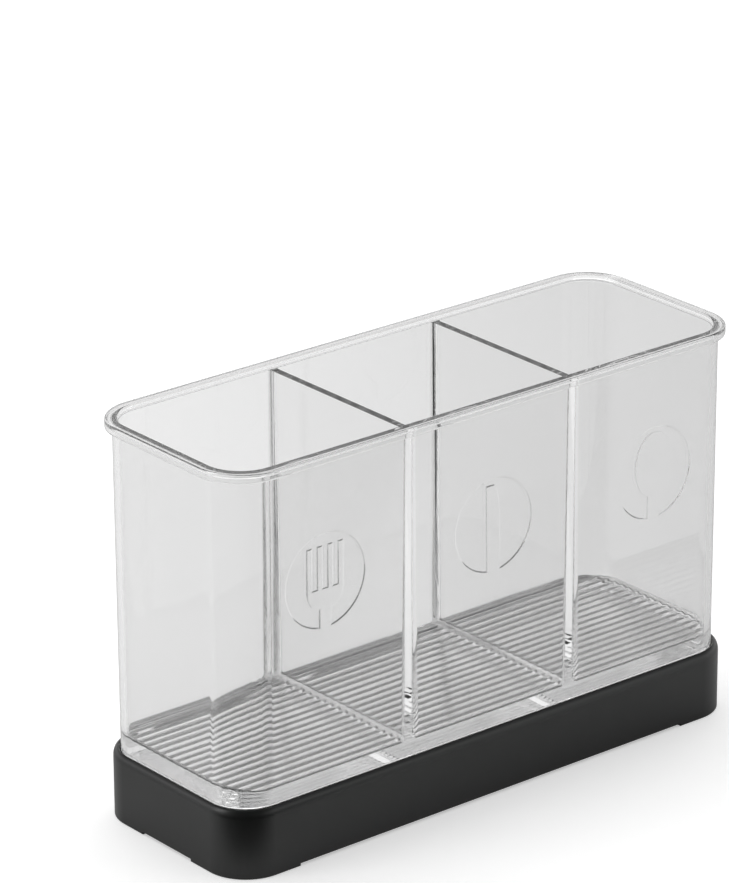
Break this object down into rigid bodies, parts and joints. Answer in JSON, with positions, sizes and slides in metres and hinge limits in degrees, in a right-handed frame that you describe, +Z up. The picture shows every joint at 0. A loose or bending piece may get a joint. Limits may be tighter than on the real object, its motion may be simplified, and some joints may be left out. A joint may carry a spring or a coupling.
{
  "type": "countertop cutlery caddy",
  "caption": "Upright cutlery caddy: a clear moulded bin divided into compartments, with round utensil emblems on its front, lifting out of a black plastic base.",
  "frame": {"origin": "middle of the footprint, on the surface that the caddy stands on", "axes": "+X along the long side to the right, +Y from the front, which has the emblems, to the back, +Z up"},
  "size_m": [0.2152, 0.0766, 0.1384],
  "materials": {
    "black_plastic": "matte black, finely textured moulded plastic",
    "clear_plastic": "clear, glossy, colourless moulded plastic"
  },
  "bodies": {
    "base": {"base_tray": "black_plastic"},
    "bin": {"clear_bin": "clear_plastic"}
  },
  "joints": [
    {"name": "bin_lift", "type": "slide", "parent": "base", "child": "bin", "axis": [0, 0, 1], "range_m": [0, 0.04]}
  ]
}
